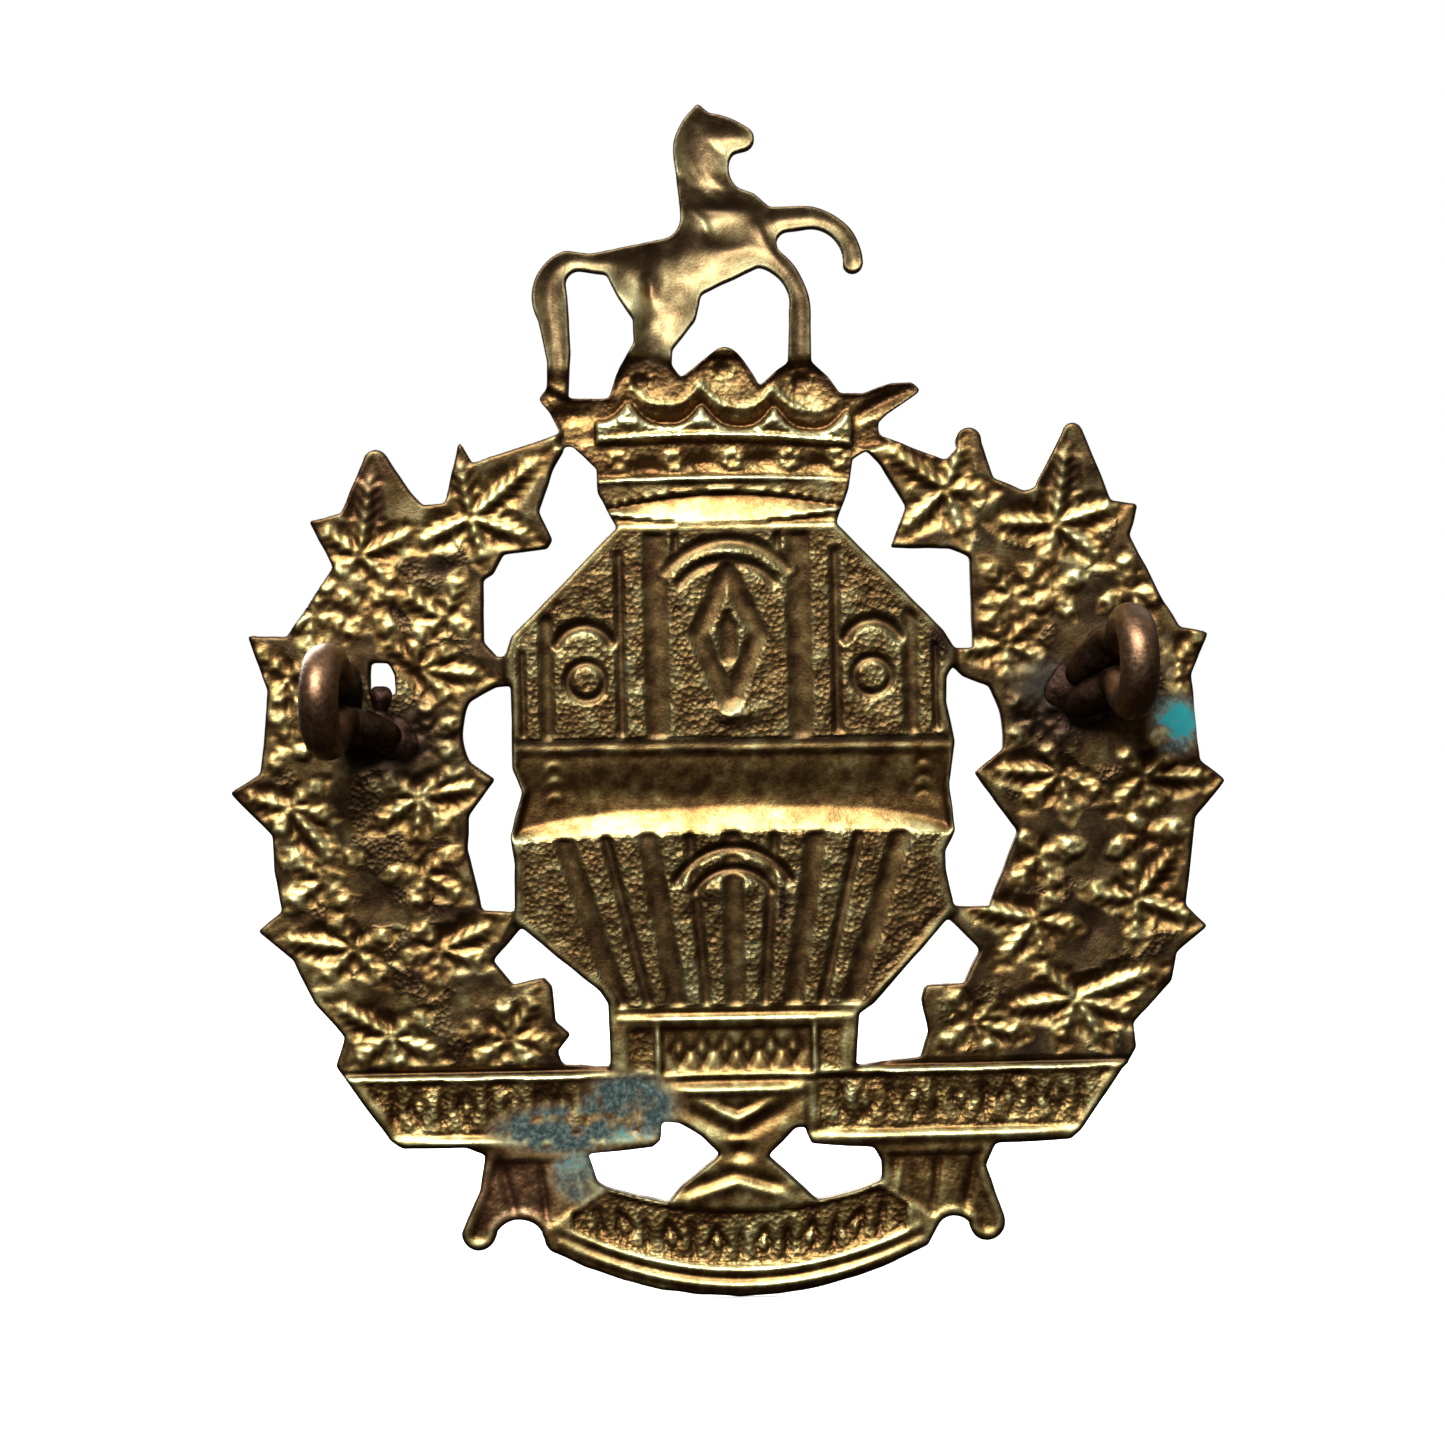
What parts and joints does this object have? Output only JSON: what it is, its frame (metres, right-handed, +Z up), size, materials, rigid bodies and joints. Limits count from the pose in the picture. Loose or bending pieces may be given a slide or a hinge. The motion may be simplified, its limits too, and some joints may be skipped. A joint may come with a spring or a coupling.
{
  "type": "cap badge",
  "caption": "Die-struck brass cap badge with a fretted leaf wreath, coronet, tablet and scrolls, and a pair of wire lugs brazed to its back.",
  "frame": {"origin": "middle of the plate's back face, on the flat ground of the tablet", "axes": "+Z up the badge to the horse's head, -Y out of the decorated front, +Y out of the back along the lugs"},
  "size_m": [0.0384, 0.0071, 0.046],
  "materials": {
    "brass": "aged",
    "copper": "aged copper wire",
    "braze": "dark oxidised braze"
  },
  "bodies": {
    "root": {"badge_plate": "brass", "lug_left": "copper", "lug_right": "copper", "braze_left": "braze", "braze_right": "braze"}
  },
  "joints": []
}
